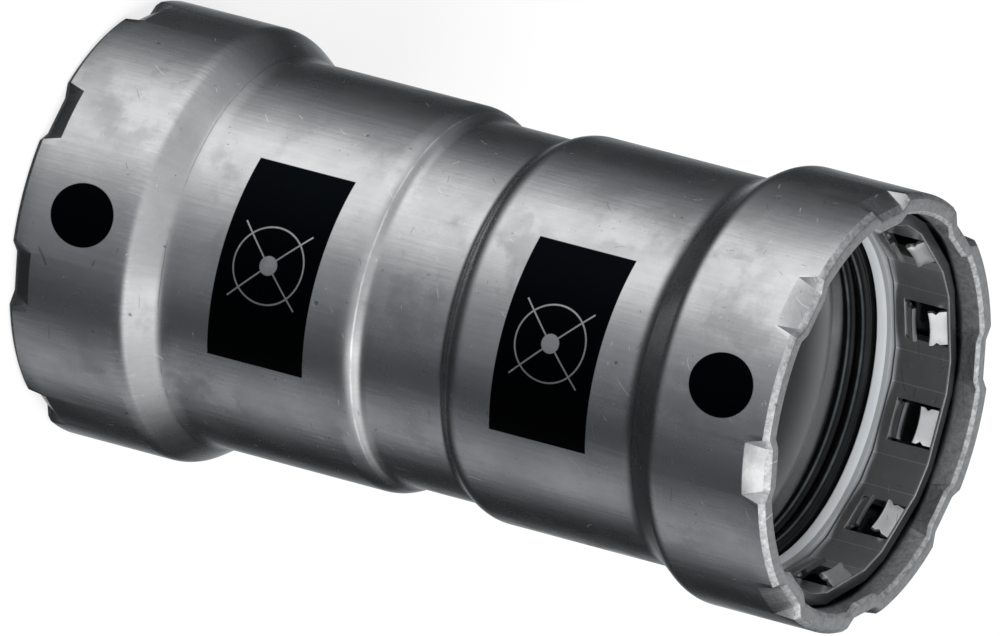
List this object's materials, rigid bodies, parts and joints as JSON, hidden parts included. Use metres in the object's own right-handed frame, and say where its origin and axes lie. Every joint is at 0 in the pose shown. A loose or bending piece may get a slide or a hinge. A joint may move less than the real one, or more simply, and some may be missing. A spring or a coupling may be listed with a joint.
{
  "type": "press fit coupling",
  "caption": "Straight press fit coupling: a formed steel tube with a collar at each end, stamped rim tabs, grip rings, separator rings and rubber seals, to join steel pipe.",
  "frame": {"origin": "centre of the lower rim, on the axis, where the coupling stands", "axes": "+Z along the axis, from the lower rim to the upper rim; -Y towards the printed side"},
  "size_m": [0.054, 0.054, 0.106],
  "materials": {
    "plated_steel": "satin zinc plate, lightly stained, with black print",
    "spring_steel": "dark polished spring steel",
    "bright_steel": "bright smooth steel",
    "seal_rubber": "glossy black rubber"
  },
  "bodies": {
    "root": {"coupling_body": "plated_steel", "upper_grip_ring": "spring_steel", "upper_separator_ring": "bright_steel", "upper_seal": "seal_rubber", "lower_grip_ring": "spring_steel", "lower_separator_ring": "bright_steel", "lower_seal": "seal_rubber"}
  },
  "joints": []
}
